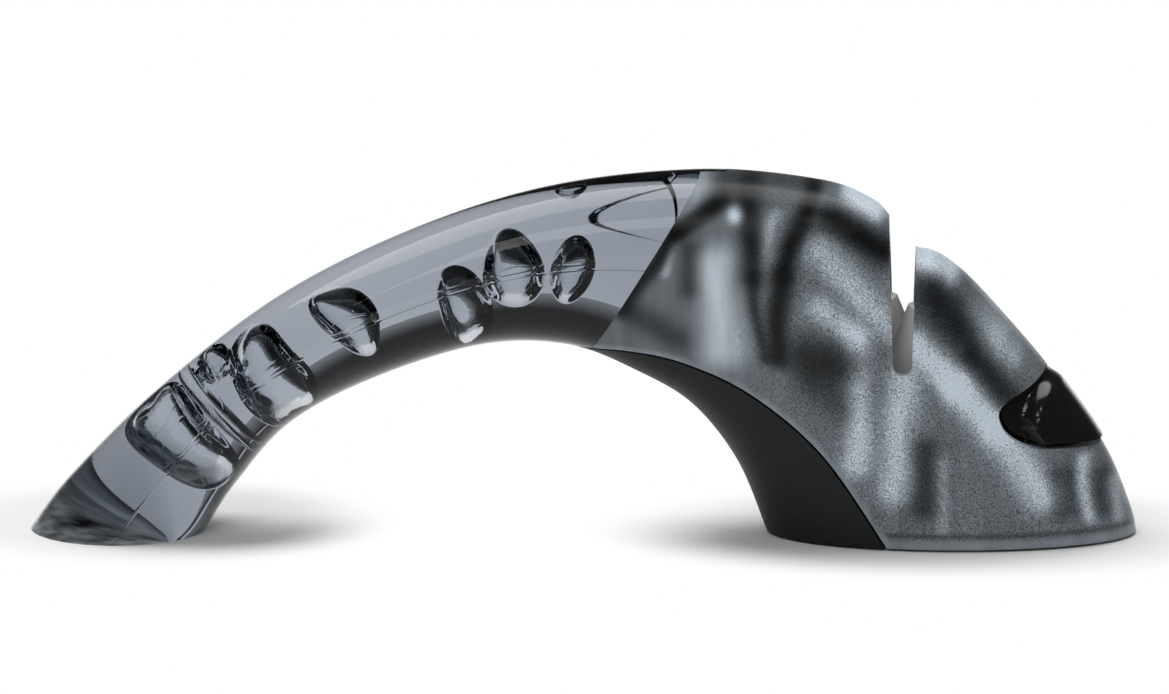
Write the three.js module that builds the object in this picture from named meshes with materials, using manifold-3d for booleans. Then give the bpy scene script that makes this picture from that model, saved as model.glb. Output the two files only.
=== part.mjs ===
// Bridge-shaped knife sharpener: a clear smoke-grey handle runs in an arch from its foot to a hollow
// frosted head. A knife slot crosses the head over two crossed ceramic rollers that turn on steel pins.
// The pins stand in a carrier that a sprung button in the nose keeps locked in the base.
// Millimetres, +X towards the nose, +Z up, origin on the table below the middle of the length.

import * as THREE from 'three';
import { mergeVertices } from 'three/addons/utils/BufferGeometryUtils.js';
import Module from 'manifold-3d';

const wasm = await Module();
wasm.setup();

// Body, all in the middle plane unless said otherwise
const FOOT_TIP_X = -105;
const FOOT_HEEL_X = FOOT_TIP_X + 33.2;
const NOSE_X = 105;
const BASE_HEEL_X = NOSE_X - 70.2;
const CROWN_Z = 69.2;
const ARCH_Z = 36.7;
const FOOT_HALF_WIDTH = 17.5;
const GRIP_HALF_WIDTH = 13.2;
const HEAD_HALF_WIDTH = 16.4;
const BASE_HALF_WIDTH = 20;
const WALL = 2.2;
const BASE_LIFT = 0.5;

// Crown line from foot to nose, as shares of the whole length and of the crown's height
const CROWN_LINE = [
  [0, 0], [0.0343, 0.1387], [0.1148, 0.385], [0.2267, 0.65], [0.351, 0.84], [0.4752, 0.957],
  [0.6076, 1], [0.7143, 0.97], [0.7595, 0.92], [0.7771, 0.871], [0.799, 0.789], [0.8162, 0.773],
  [0.8319, 0.747], [0.859, 0.672], [0.919, 0.464], [0.97, 0.2486], [0.9943, 0.0795], [1, 0.0072],
];

// Arch line from heel to heel, as shares of the way between them and of the arch's height
const ARCH_LINE = [
  [0, 0], [0.0582, 0.256], [0.1529, 0.567], [0.2983, 0.8], [0.4906, 0.986], [0.6454, 0.995],
  [0.7674, 0.865], [0.8668, 0.69], [0.9475, 0.387], [1, 0.0136],
];

// Sections from the foot, 0, to the base, 1: place, half-width and squareness, where 2 is an ellipse
const SECTIONS = [
  [0, FOOT_HALF_WIDTH, 2], [0.14, 0.8314 * FOOT_HALF_WIDTH, 2.1], [0.32, GRIP_HALF_WIDTH, 2.2],
  [0.5, 0.883 * HEAD_HALF_WIDTH, 2.5], [0.7, HEAD_HALF_WIDTH, 3], [0.87, 0.91 * BASE_HALF_WIDTH, 2.5],
  [1, BASE_HALF_WIDTH, 2],
];

// Hollow of the head, from its slanted end wall to the open base
const HOLLOW_START_SHARE = 0.5;
const END_WALL_TOP_X = NOSE_X - 78;
const END_WALL_LEAN = THREE.MathUtils.degToRad(31.8);

// Edge of the dark insert, as shares of its run and of the arch's height
const EDGE_START_X = BASE_HEEL_X - 39;
const EDGE_END_X = BASE_HEEL_X + 23;
const EDGE_LINE = [
  [0, 0.9946], [0.2081, 1.0054], [0.3903, 0.951], [0.5935, 0.79], [0.8048, 0.4877], [1, 0.0136],
];

// Clearances
const GAP = 0.3;
const RUNNING_GAP = 0.25;

// Knife slot
const SLOT_X = NOSE_X - 44.45;
const SLOT_MOUTH_WIDTH = 5;
const SLOT_BOTTOM_WIDTH = 3.6;
const SLOT_BOTTOM_Z = CROWN_Z - 35.8;
const SLOT_MOUTH_Z = 0.8 * CROWN_Z;

// Crossed rollers
const VEE_APEX_Z = CROWN_Z - 26.9;
const VEE_HALF_ANGLE = THREE.MathUtils.degToRad(22);
const ROLLER_RADIUS = 4.5;
const ROLLER_LENGTH = 22;
const ROLLER_RISE = 3.2;
const ROLLER_CHAMFER = 0.5;
const PIN_RADIUS = 1.5;
const PIN_SEAT_DEPTH = 8;
const WASHER_THICKNESS = 0.6;
const WASHER_RADIUS = 3.4;
const WASHER_CHAMFER = 0.1;
const CAP_THICKNESS = 1.8;
const CAP_RADIUS = 2.6;
const CAP_GRIP = 1.1;

// Base plate, its screws and rubber feet
const PLATE_BOTTOM_Z = 0.8;
const PLATE_THICKNESS = 2;
const SCREW_RADIUS = 1.2;
const SCREW_LENGTH = 8;
const SCREW_HEAD_RADIUS = 2.3;
const SCREW_HEAD_HEIGHT = 1.3;
const BOSS_RADIUS = 3;
const BOSS_HEIGHT = 12;
const SIDE_SCREW_X = NOSE_X - 39;
const SIDE_SCREW_Y = BASE_HALF_WIDTH - 6.3;
const NOSE_SCREW_X = NOSE_X - 10.5;
const FOOT_RADIUS = 3.6;
const FOOT_POCKET_DEPTH = 0.5;
const REAR_FOOT_X = BASE_HEEL_X + 7.6;
const FRONT_FOOT_X = NOSE_X - 18;
const FRONT_FOOT_Y = 0.44 * BASE_HALF_WIDTH;

// Roller carrier
const CARRIER_LEFT_X = SLOT_X - 13.05;
const CARRIER_RIGHT_X = SLOT_X + 15.95;
const CARRIER_HALF_WIDTH = 0.5 * BASE_HALF_WIDTH;
const CARRIER_CORNER = 2;
const CARRIER_WALL = 1.6;
const CARRIER_DECK_Z = 9;
const TAB_THICKNESS = 1.2;
const TAB_HALF_WIDTH = 5;
const TAB_CLEARANCE = 5.2;

// Nose button, its latch pin and its spring
const PRESS_ANGLE = THREE.MathUtils.degToRad(34.5);
const PRESS_TRAVEL = 1;
const PAD_X = NOSE_X - 13.3;
const PAD_Z = 0.344 * CROWN_Z;
const PAD_RADIUS = 5.8;
const PAD_PROUD = 0.9;
const PAD_SIDE_SHARE = 0.4;
const SCOOP_DEPTH = 3.6;
const SCOOP_SPAN = 3;
const WINDOW_GAP = 0.5;
const WINDOW_LOWER_GAP = 1;
const BUTTON_START_SHARE = 0.74;
const BUTTON_END_SHARE = 0.98;
const BUTTON_STEPS = 30;
const BUTTON_WALL = 4.8;
const STEM_RADIUS = 2.9;
const STEM_LENGTH = 5.5;
const LATCH_RADIUS = 1.4;
const LATCH_NECK_RADIUS = 0.8;
const SPRING_RADIUS = 2.3;
const SPRING_WIRE = 0.28;
const SPRING_LENGTH = 6;
const SPRING_TURNS = 5;
const SPRING_SIDES = 5;
const SPRING_STEPS = 8;
const GUIDE_LENGTH = 5;
const GUIDE_HALF_WIDTH = 5;
const GUIDE_TOP_Z = PAD_Z - 1.3;

// Corners and pulls of the button's window, from the middle of its pad: forwards and up
const WINDOW_BROW = new THREE.Vector2(-3.3, 9.5);
const WINDOW_BROW_PULL = new THREE.Vector2(-5.5, 7.2);
const WINDOW_SHOULDER = new THREE.Vector2(-9.1, 5.4);
const WINDOW_TIP_PULL = new THREE.Vector2(-13, 3.8);
const WINDOW_TIP = new THREE.Vector2(-13, 1.6);
const WINDOW_CHIN_PULL = new THREE.Vector2(-12.4, -3.2);
const WINDOW_CHIN = new THREE.Vector2(-5.3, -4.8);
const WINDOW_SILL_DROP = 6.6;

// Facets
const RING_POINTS = 32;
const BODY_STEPS = 60;
const ROUND_SEGMENTS = 32;
const SMALL_SEGMENTS = 16;
const CURVE_SEGMENTS = 10;
const PLAN_SEGMENTS = 24;
const STATION_STEPS = 400;
const EDGE_STEPS = 16;

// Materials
const smokeClear = new THREE.MeshStandardMaterial({
  color: 0x9aa0a8, roughness: 0.15, metalness: 0, transparent: true, opacity: 0.5,
});
const charcoal = new THREE.MeshStandardMaterial({ color: 0x242627, roughness: 0.6, metalness: 0 });
const glossBlack = new THREE.MeshStandardMaterial({ color: 0x0f0e0d, roughness: 0.2, metalness: 0 });
const paleCeramic = new THREE.MeshStandardMaterial({ color: 0xcfcfca, roughness: 0.5, metalness: 0 });
const steel = new THREE.MeshStandardMaterial({ color: 0xb4b6b8, roughness: 0.3, metalness: 1 });
const rubber = new THREE.MeshStandardMaterial({ color: 0x1c1c1c, roughness: 0.9, metalness: 0 });

// A closed solid for joining and cutting, with shared corners merged and faces turned outwards
function solid(geometry) {
  const bare = geometry.index ? geometry.toNonIndexed() : geometry.clone();
  bare.deleteAttribute('normal');
  bare.deleteAttribute('uv');
  const merged = mergeVertices(bare, 1e-4);
  const points = merged.attributes.position.array;
  const corners = Array.from(merged.index.array);
  const a = new THREE.Vector3();
  const b = new THREE.Vector3();
  const c = new THREE.Vector3();
  const faces = [];
  let volume = 0;
  for (let i = 0; i < corners.length; i += 3) {
    const [p, q, r] = corners.slice(i, i + 3);
    if (p === q || q === r || r === p) continue;
    a.fromArray(points, 3 * p);
    b.fromArray(points, 3 * q);
    c.fromArray(points, 3 * r);
    volume += a.dot(b.cross(c));
    faces.push([p, q, r]);
  }
  const turned = volume < 0 ? faces.map(([p, q, r]) => [p, r, q]) : faces;
  return new wasm.Manifold(new wasm.Mesh({
    numProp: 3,
    vertProperties: new Float32Array(points),
    triVerts: new Uint32Array(turned.flat()),
  }));
}

// The geometry of a finished solid
function geometryOf(manifold) {
  const mesh = manifold.getMesh();
  const geometry = new THREE.BufferGeometry();
  geometry.setAttribute('position', new THREE.BufferAttribute(new Float32Array(mesh.vertProperties), 3));
  geometry.setIndex(new THREE.BufferAttribute(new Uint32Array(mesh.triVerts), 1));
  geometry.computeVertexNormals();
  return geometry;
}

// A skin over rings of points, closed by a flat cap at each end
function loft(rings) {
  const count = rings[0].length;
  const points = rings.flat();
  const faces = [];
  for (let row = 0; row + 1 < rings.length; row += 1) {
    for (let k = 0; k < count; k += 1) {
      const here = row * count + k;
      const next = row * count + (k + 1) % count;
      faces.push(here, next, here + count, next, next + count, here + count);
    }
  }
  const last = (rings.length - 1) * count;
  for (let k = 1; k + 1 < count; k += 1) {
    faces.push(0, k + 1, k, last, last + k, last + k + 1);
  }
  const geometry = new THREE.BufferGeometry().setFromPoints(points);
  geometry.setIndex(faces);
  return solid(geometry);
}

// A round piece about the Z axis from a profile of radius and height
function turned(profile, segments) {
  const points = profile.map(([radius, height]) => new THREE.Vector2(radius, height));
  return new THREE.LatheGeometry(points, segments).rotateX(Math.PI / 2);
}

// A ring with a bore, chamfered on its outer edges
function ring(inner, outer, low, high, chamfer, segments) {
  return turned([
    [inner, low], [outer - chamfer, low], [outer, low + chamfer],
    [outer, high - chamfer], [outer - chamfer, high], [inner, high], [inner, low],
  ], segments);
}

// A rod along Z
function rod(radius, low, high, segments = SMALL_SEGMENTS) {
  return turned([[0, low], [radius, low], [radius, high], [0, high]], segments);
}

// A box between two corners
function block(low, high) {
  const size = high.clone().sub(low);
  const middle = low.clone().add(high).multiplyScalar(0.5);
  return new THREE.BoxGeometry(size.x, size.y, size.z).translate(middle.x, middle.y, middle.z);
}

// A side-view outline pushed through the body from left to right flank
function throughBody(shape) {
  const reach = 2 * BASE_HALF_WIDTH;
  const geometry = new THREE.ExtrudeGeometry(shape, {
    depth: 2 * reach, bevelEnabled: false, curveSegments: CURVE_SEGMENTS,
  });
  return solid(geometry.rotateX(Math.PI / 2).translate(0, reach, 0));
}

// A flat plate with a plan outline
function plate(shape, bottom, thickness) {
  const geometry = new THREE.ExtrudeGeometry(shape, {
    depth: thickness, bevelEnabled: false, curveSegments: PLAN_SEGMENTS,
  });
  return solid(geometry.translate(0, 0, bottom));
}

function roundedRectangle(left, right, halfWidth, corner) {
  const shape = new THREE.Shape();
  shape.moveTo(left + corner, -halfWidth);
  shape.lineTo(right - corner, -halfWidth);
  shape.quadraticCurveTo(right, -halfWidth, right, -halfWidth + corner);
  shape.lineTo(right, halfWidth - corner);
  shape.quadraticCurveTo(right, halfWidth, right - corner, halfWidth);
  shape.lineTo(left + corner, halfWidth);
  shape.quadraticCurveTo(left, halfWidth, left, halfWidth - corner);
  shape.lineTo(left, -halfWidth + corner);
  shape.quadraticCurveTo(left, -halfWidth, left + corner, -halfWidth);
  return shape;
}

// The arch: two rails in the middle plane, and sections that fan between them from foot to base
function rail(line, fromX, toX, height) {
  return new THREE.SplineCurve(line.map(([along, up]) => new THREE.Vector2(
    fromX + along * (toX - fromX), up * height,
  )));
}
const outerRail = rail(CROWN_LINE, FOOT_TIP_X, NOSE_X, CROWN_Z);
const innerRail = rail(ARCH_LINE, FOOT_HEEL_X, BASE_HEEL_X, ARCH_Z);
const stations = new THREE.CatmullRomCurve3(SECTIONS.map((values) => new THREE.Vector3(...values)));
const stationTable = stations.getSpacedPoints(STATION_STEPS);

function stationAt(along) {
  const after = stationTable.findIndex((point) => point.x >= along - 1e-9);
  return stationTable[after < 0 ? stationTable.length - 1 : after];
}

// One section ring, drawn in from the outer skin by inset, each point passed through an optional change
function section(along, inset, change = (point) => point) {
  const outer = outerRail.getPointAt(along);
  const inner = innerRail.getPointAt(along);
  const middle = outer.clone().add(inner).multiplyScalar(0.5);
  const depth = outer.clone().sub(inner).multiplyScalar(0.5);
  const shrink = 1 - inset / depth.length();
  const { y: halfWidth, z: squareness } = stationAt(along);
  const points = [];
  for (let k = 0; k < RING_POINTS; k += 1) {
    const angle = (2 * Math.PI * k) / RING_POINTS;
    const u = Math.sign(Math.cos(angle)) * Math.abs(Math.cos(angle)) ** (2 / squareness);
    const v = Math.sign(Math.sin(angle)) * Math.abs(Math.sin(angle)) ** (2 / squareness);
    const x = middle.x + u * shrink * depth.x;
    const z = middle.y + u * shrink * depth.y;
    points.push(change(new THREE.Vector3(x, v * (halfWidth - inset), z), u, depth, halfWidth));
  }
  return points;
}

function archSolid(from, to, steps, inset, change) {
  const rings = [];
  for (let step = 0; step <= steps; step += 1) {
    rings.push(section(from + ((to - from) * step) / steps, inset, change));
  }
  return rings;
}

const bodySolid = loft(archSolid(0, 1, BODY_STEPS, 0));

// The hollow of the head runs from a slanted end wall out through the open base
const belowBase = -BASE_LIFT - WALL;

function hollow() {
  const rings = archSolid(HOLLOW_START_SHARE, 1, BODY_STEPS / 2, WALL);
  const below = rings[rings.length - 1].map((point) => point.clone().setZ(belowBase));
  const endWallFootX = END_WALL_TOP_X - Math.tan(END_WALL_LEAN) * (CROWN_Z - belowBase);
  const solidHandle = throughBody(new THREE.Shape([
    new THREE.Vector2(FOOT_TIP_X, belowBase),
    new THREE.Vector2(endWallFootX, belowBase),
    new THREE.Vector2(END_WALL_TOP_X, CROWN_Z),
    new THREE.Vector2(FOOT_TIP_X, CROWN_Z),
  ]));
  return loft([...rings, below]).subtract(solidHandle);
}
const headHollow = hollow();

// Everything under the sweeping edge where the dark insert meets the frosted head
function underEdge(shift) {
  const edge = rail(EDGE_LINE, EDGE_START_X, EDGE_END_X, ARCH_Z);
  const points = edge.getSpacedPoints(EDGE_STEPS).map((p) => new THREE.Vector2(p.x - shift, p.y - shift));
  return throughBody(new THREE.Shape([
    ...points,
    new THREE.Vector2(EDGE_END_X + 1 - shift, belowBase),
    new THREE.Vector2(EDGE_START_X - shift, belowBase),
  ]));
}

// The slot narrows downwards and ends in a half round
function slotCut() {
  const bottomRadius = SLOT_BOTTOM_WIDTH / 2;
  const top = CROWN_Z + WALL;
  const slope = (SLOT_MOUTH_WIDTH - SLOT_BOTTOM_WIDTH) / 2 / (SLOT_MOUTH_Z - SLOT_BOTTOM_Z);
  const topHalf = SLOT_MOUTH_WIDTH / 2 + slope * (top - SLOT_MOUTH_Z);
  const shape = new THREE.Shape();
  shape.moveTo(SLOT_X - topHalf, top);
  shape.lineTo(SLOT_X - bottomRadius, SLOT_BOTTOM_Z + bottomRadius);
  shape.absarc(SLOT_X, SLOT_BOTTOM_Z + bottomRadius, bottomRadius, Math.PI, 2 * Math.PI, false);
  shape.lineTo(SLOT_X + topHalf, top);
  return throughBody(shape);
}

// The window that the button fills, seen from the side and open past the nose
function windowShape(gap, lowerGap) {
  const pad = new THREE.Vector2(PAD_X, PAD_Z);
  const place = (corner, forward, up) => (
    pad.clone().add(corner).add(new THREE.Vector2(forward, up)).toArray()
  );
  const outside = NOSE_X + 2 * WALL;
  const shape = new THREE.Shape();
  shape.moveTo(outside, PAD_Z + WINDOW_BROW.y - gap);
  shape.lineTo(...place(WINDOW_BROW, 0, -gap));
  shape.quadraticCurveTo(...place(WINDOW_BROW_PULL, 0, -gap), ...place(WINDOW_SHOULDER, 0, -gap));
  shape.quadraticCurveTo(...place(WINDOW_TIP_PULL, gap, -gap), ...place(WINDOW_TIP, gap, 0));
  shape.quadraticCurveTo(...place(WINDOW_CHIN_PULL, gap, lowerGap / 2), ...place(WINDOW_CHIN, 0, lowerGap));
  shape.lineTo(outside, PAD_Z - WINDOW_SILL_DROP + lowerGap);
  return shape;
}

// Straight screw posts under the shell, kept inside its skin, with pilot holes from below
const plateTopZ = PLATE_BOTTOM_Z + PLATE_THICKNESS;
const screwPlaces = [
  new THREE.Vector2(SIDE_SCREW_X, -SIDE_SCREW_Y),
  new THREE.Vector2(SIDE_SCREW_X, SIDE_SCREW_Y),
  new THREE.Vector2(NOSE_SCREW_X, 0),
];

function screwPosts() {
  const bottom = plateTopZ + GAP;
  const top = plateTopZ + BOSS_HEIGHT;
  let posts = null;
  for (const place of screwPlaces) {
    const post = solid(rod(BOSS_RADIUS, bottom, top).translate(place.x, place.y, 0));
    const outward = new THREE.Vector2(place.x - SIDE_SCREW_X, place.y).normalize();
    const reach = 2 * BOSS_RADIUS + WALL;
    const web = new THREE.BoxGeometry(reach, CARRIER_WALL, top - bottom)
      .translate(reach / 2, 0, (top + bottom) / 2)
      .rotateZ(Math.atan2(outward.y, outward.x))
      .translate(place.x, place.y, 0);
    const pilot = rod(SCREW_RADIUS + RUNNING_GAP, 0, PLATE_BOTTOM_Z + SCREW_LENGTH + 2 * GAP);
    const made = post.add(solid(web)).subtract(solid(pilot.translate(place.x, place.y, 0)));
    posts = posts ? posts.add(made) : made;
  }
  return posts.intersect(bodySolid);
}

const windowCut = throughBody(windowShape(0, 0));
const bodyShell = bodySolid
  .subtract(headHollow)
  .add(screwPosts())
  .subtract(underEdge(0))
  .subtract(slotCut())
  .subtract(windowCut);

// The dark insert is the same skin below the edge
const archInsert = bodySolid.subtract(headHollow).intersect(underEdge(GAP));

// The press line runs inwards and down from the middle of the pad
const pressLine = new THREE.Matrix4()
  .makeRotationY(Math.PI / 2 - PRESS_ANGLE + Math.PI)
  .setPosition(PAD_X + 1, 0, PAD_Z + 1);
const pressed = (geometry) => solid(geometry.applyMatrix4(pressLine));
const springStart = STEM_LENGTH + GAP;
const guideFace = springStart + SPRING_LENGTH + GAP;
const tabFace = guideFace + GUIDE_LENGTH + TAB_CLEARANCE;

// The button: the nose skin with a proud pad, scooped away behind it so that its ends pass inside the wall
function buttonSkin(point, u, depth, halfWidth) {
  const behind = Math.max(0, PAD_X - point.x);
  const past = (Math.hypot(behind, point.z - PAD_Z) - PAD_RADIUS) / SCOOP_SPAN;
  const scoop = THREE.MathUtils.smoothstep(past, 0, 1);
  const swell = (PAD_PROUD * (1 - scoop) * Math.max(0, u)) / depth.length();
  return new THREE.Vector3(
    point.x + depth.x * swell,
    point.y * (1 + (PAD_PROUD * PAD_SIDE_SHARE * (1 - scoop) - SCOOP_DEPTH * scoop) / halfWidth),
    point.z + depth.y * swell,
  );
}

function buttonSolid() {
  const blank = loft(archSolid(BUTTON_START_SHARE, BUTTON_END_SHARE, BUTTON_STEPS, 0, buttonSkin));
  const cap = blank
    .subtract(loft(archSolid(HOLLOW_START_SHARE, 1, BUTTON_STEPS, BUTTON_WALL)))
    .intersect(throughBody(windowShape(WINDOW_GAP, WINDOW_LOWER_GAP)));
  const stem = pressed(rod(STEM_RADIUS, -1, STEM_LENGTH, ROUND_SEGMENTS));
  const bore = pressed(rod(LATCH_RADIUS + GAP, 0, STEM_LENGTH + 1));
  return cap.add(stem).subtract(bore);
}

// The latch pin: a rod with a neck that comes level with the carrier's tab when pressed
function latchPin() {
  const neckEnd = tabFace - RUNNING_GAP / 2;
  const neckStart = neckEnd - PRESS_TRAVEL - RUNNING_GAP;
  return turned([
    [0, GAP], [LATCH_RADIUS, GAP], [LATCH_RADIUS, neckStart], [LATCH_NECK_RADIUS, neckStart],
    [LATCH_NECK_RADIUS, neckEnd], [LATCH_RADIUS, neckEnd], [LATCH_RADIUS, tabFace + 2 * TAB_THICKNESS],
    [0, tabFace + 2 * TAB_THICKNESS],
  ], SMALL_SEGMENTS).applyMatrix4(pressLine);
}

// The return spring, one open coil round the latch pin
function springCoil() {
  class Coil extends THREE.Curve {
    getPoint(along, target = new THREE.Vector3()) {
      const angle = 2 * Math.PI * SPRING_TURNS * along;
      const height = springStart + SPRING_WIRE + along * (SPRING_LENGTH - 2 * SPRING_WIRE);
      return target.set(SPRING_RADIUS * Math.cos(angle), SPRING_RADIUS * Math.sin(angle), height);
    }
  }
  const wire = new THREE.Shape();
  for (let k = 0; k < SPRING_SIDES; k += 1) {
    const angle = (2 * Math.PI * k) / SPRING_SIDES;
    const corner = [SPRING_WIRE * Math.cos(angle), SPRING_WIRE * Math.sin(angle)];
    if (k === 0) wire.moveTo(...corner);
    else wire.lineTo(...corner);
  }
  const coil = new THREE.ExtrudeGeometry(wire, {
    steps: SPRING_STEPS * SPRING_TURNS, bevelEnabled: false, extrudePath: new Coil(),
  });
  const pitch = (SPRING_LENGTH - 2 * SPRING_WIRE) / SPRING_TURNS;
  console.log(`button_spring: least gap between turns ${(pitch - 2 * SPRING_WIRE).toFixed(2)} mm`);
  return geometryOf(pressed(coil));
}

// The carrier drops into an opening in the base plate, so both take their outline from one function
function carrierOutline(grow) {
  return roundedRectangle(
    CARRIER_LEFT_X - grow, CARRIER_RIGHT_X + grow, CARRIER_HALF_WIDTH + grow, CARRIER_CORNER + grow,
  );
}

const footPlaces = [
  new THREE.Vector2(REAR_FOOT_X, 0),
  new THREE.Vector2(FRONT_FOOT_X, -FRONT_FOOT_Y),
  new THREE.Vector2(FRONT_FOOT_X, FRONT_FOOT_Y),
];

function basePlate() {
  const outline = new THREE.Shape();
  const middleX = (BASE_HEEL_X + NOSE_X) / 2;
  const inset = WALL + 4 * GAP;
  outline.absellipse(
    middleX, 0, (NOSE_X - BASE_HEEL_X) / 2 - inset, BASE_HALF_WIDTH - inset, 0, 2 * Math.PI, false, 0,
  );
  outline.holes.push(carrierOutline(GAP));
  let made = plate(outline, PLATE_BOTTOM_Z, PLATE_THICKNESS);
  const guideEnd = new THREE.Vector3(0, 0, guideFace + GUIDE_LENGTH).applyMatrix4(pressLine);
  const guideStart = new THREE.Vector3(0, 0, guideFace - 1).applyMatrix4(pressLine);
  const post = block(
    new THREE.Vector3(guideEnd.x, -GUIDE_HALF_WIDTH, plateTopZ - WALL / 2),
    new THREE.Vector3(guideStart.x, GUIDE_HALF_WIDTH, GUIDE_TOP_Z),
  );
  made = made.add(solid(post));
  made = made.subtract(pressed(rod(STEM_RADIUS + 2 * GAP, 0, guideFace, ROUND_SEGMENTS)));
  made = made.subtract(pressed(rod(LATCH_RADIUS + GAP, 0, tabFace)));
  for (const place of screwPlaces) {
    const hole = rod(SCREW_RADIUS + RUNNING_GAP, 0, plateTopZ + 1).translate(place.x, place.y, 0);
    const headSeat = rod(SCREW_HEAD_RADIUS + GAP, 0, PLATE_BOTTOM_Z + SCREW_HEAD_HEIGHT + GAP);
    made = made.subtract(solid(hole)).subtract(solid(headSeat.translate(place.x, place.y, 0)));
  }
  for (const place of footPlaces) {
    const pocket = rod(FOOT_RADIUS + GAP, 0, PLATE_BOTTOM_Z + FOOT_POCKET_DEPTH, ROUND_SEGMENTS);
    made = made.subtract(solid(pocket.translate(place.x, place.y, 0)));
  }
  return made;
}

// A roller's frame: its Z axis is the pin's axis, its origin the middle of the roller's top end
function rollerFrame(side) {
  const lean = -side * VEE_HALF_ANGLE;
  const edgeToAxis = new THREE.Vector2(Math.cos(lean), -Math.sin(lean)).multiplyScalar(-side * ROLLER_RADIUS);
  const x = SLOT_X + edgeToAxis.x + ROLLER_RISE * Math.sin(lean);
  const z = VEE_APEX_Z + edgeToAxis.y + ROLLER_RISE * Math.cos(lean);
  return new THREE.Matrix4()
    .makeRotationY(lean)
    .setPosition(x, side * (ROLLER_RADIUS + GAP), z);
}
const frontFrame = rollerFrame(-1);
const rearFrame = rollerFrame(1);
const seatFace = -ROLLER_LENGTH - RUNNING_GAP - WASHER_THICKNESS - GAP;
const pinFoot = seatFace - PIN_SEAT_DEPTH;

// A shallow tray turned upside down, with two leaning sockets for the pins and the latch tab
function carrierBlock() {
  let made = plate(carrierOutline(0), PLATE_BOTTOM_Z, CARRIER_DECK_Z - PLATE_BOTTOM_Z);
  const tabMiddleZ = new THREE.Vector3(0, 0, tabFace).applyMatrix4(pressLine).z;
  const tabReach = (tabMiddleZ - CARRIER_DECK_Z) / Math.cos(PRESS_ANGLE) + TAB_THICKNESS;
  const tab = block(
    new THREE.Vector3(-tabReach, -TAB_HALF_WIDTH, tabFace),
    new THREE.Vector3(TAB_HALF_WIDTH, TAB_HALF_WIDTH, tabFace + TAB_THICKNESS),
  );
  made = made.add(pressed(tab));
  for (const frame of [frontFrame, rearFrame]) {
    const topZ = frame.elements[14];
    const socketFoot = (PLATE_BOTTOM_Z - topZ) / Math.cos(VEE_HALF_ANGLE);
    const socket = rod(WASHER_RADIUS + GAP, socketFoot, seatFace, ROUND_SEGMENTS);
    made = made.add(solid(socket.applyMatrix4(frame)));
  }
  const room = plate(carrierOutline(0), PLATE_BOTTOM_Z, CROWN_Z);
  const core = plate(carrierOutline(-CARRIER_WALL), -CARRIER_DECK_Z, 2 * CARRIER_DECK_Z - CARRIER_WALL);
  made = made.intersect(room).subtract(core);
  for (const frame of [frontFrame, rearFrame]) {
    made = made.subtract(solid(rod(PIN_RADIUS + GAP, pinFoot - GAP, 0).applyMatrix4(frame)));
  }
  const keyhole = pressed(rod(LATCH_RADIUS + GAP, 0, tabFace + 3 * TAB_THICKNESS));
  return made.subtract(keyhole);
}

const sharpener = new THREE.Group();

function addPiece(name, geometry, material, parent = sharpener) {
  const mesh = new THREE.Mesh(geometry, material);
  mesh.name = name;
  parent.add(mesh);
}

addPiece('body_shell', geometryOf(bodyShell), smokeClear);
addPiece('arch_insert', geometryOf(archInsert), charcoal);
addPiece('base_plate', geometryOf(basePlate()), charcoal);
addPiece('carrier_block', geometryOf(carrierBlock()), charcoal);

for (const [side, frame] of [['front', frontFrame], ['rear', rearFrame]]) {
  const group = new THREE.Group();
  group.applyMatrix4(frame);
  sharpener.add(group);
  const bore = PIN_RADIUS + RUNNING_GAP;
  const rollerFoot = -ROLLER_LENGTH;
  const washerTop = rollerFoot - RUNNING_GAP;
  const capFoot = RUNNING_GAP;
  const pinTop = capFoot + CAP_GRIP - RUNNING_GAP;
  addPiece(`${side}_roller`, geometryOf(solid(
    ring(bore, ROLLER_RADIUS, rollerFoot, 0, ROLLER_CHAMFER, ROUND_SEGMENTS),
  )), paleCeramic, group);
  addPiece(`${side}_pin`, geometryOf(solid(rod(PIN_RADIUS, pinFoot, pinTop))), steel, group);
  addPiece(`${side}_washer`, geometryOf(solid(
    ring(bore, WASHER_RADIUS, washerTop - WASHER_THICKNESS, washerTop, WASHER_CHAMFER, ROUND_SEGMENTS),
  )), steel, group);
  addPiece(`${side}_cap`, geometryOf(solid(turned([
    [bore, capFoot], [CAP_RADIUS, capFoot], [CAP_RADIUS, capFoot + CAP_THICKNESS - ROLLER_CHAMFER],
    [CAP_RADIUS - ROLLER_CHAMFER, capFoot + CAP_THICKNESS], [0, capFoot + CAP_THICKNESS],
    [0, capFoot + CAP_GRIP], [bore, capFoot + CAP_GRIP], [bore, capFoot],
  ], SMALL_SEGMENTS))), steel, group);
}

addPiece('nose_button', geometryOf(buttonSolid()), glossBlack);
addPiece('latch_pin', geometryOf(solid(latchPin())), steel);
addPiece('button_spring', springCoil(), steel);

screwPlaces.forEach((place, index) => {
  const headTop = PLATE_BOTTOM_Z + SCREW_HEAD_HEIGHT;
  const screw = turned([
    [0, PLATE_BOTTOM_Z], [SCREW_HEAD_RADIUS, PLATE_BOTTOM_Z], [SCREW_HEAD_RADIUS, headTop],
    [SCREW_RADIUS, headTop], [SCREW_RADIUS, PLATE_BOTTOM_Z + SCREW_LENGTH],
    [0, PLATE_BOTTOM_Z + SCREW_LENGTH],
  ], SMALL_SEGMENTS);
  addPiece(`base_screw_${index + 1}`, geometryOf(solid(screw.translate(place.x, place.y, 0))), steel);
});

footPlaces.forEach((place, index) => {
  const top = PLATE_BOTTOM_Z + FOOT_POCKET_DEPTH - RUNNING_GAP;
  const pad = rod(FOOT_RADIUS, 0, top, ROUND_SEGMENTS).translate(place.x, place.y, 0);
  addPiece(`rubber_foot_${index + 1}`, geometryOf(solid(pad)), rubber);
});

export default sharpener;
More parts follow.
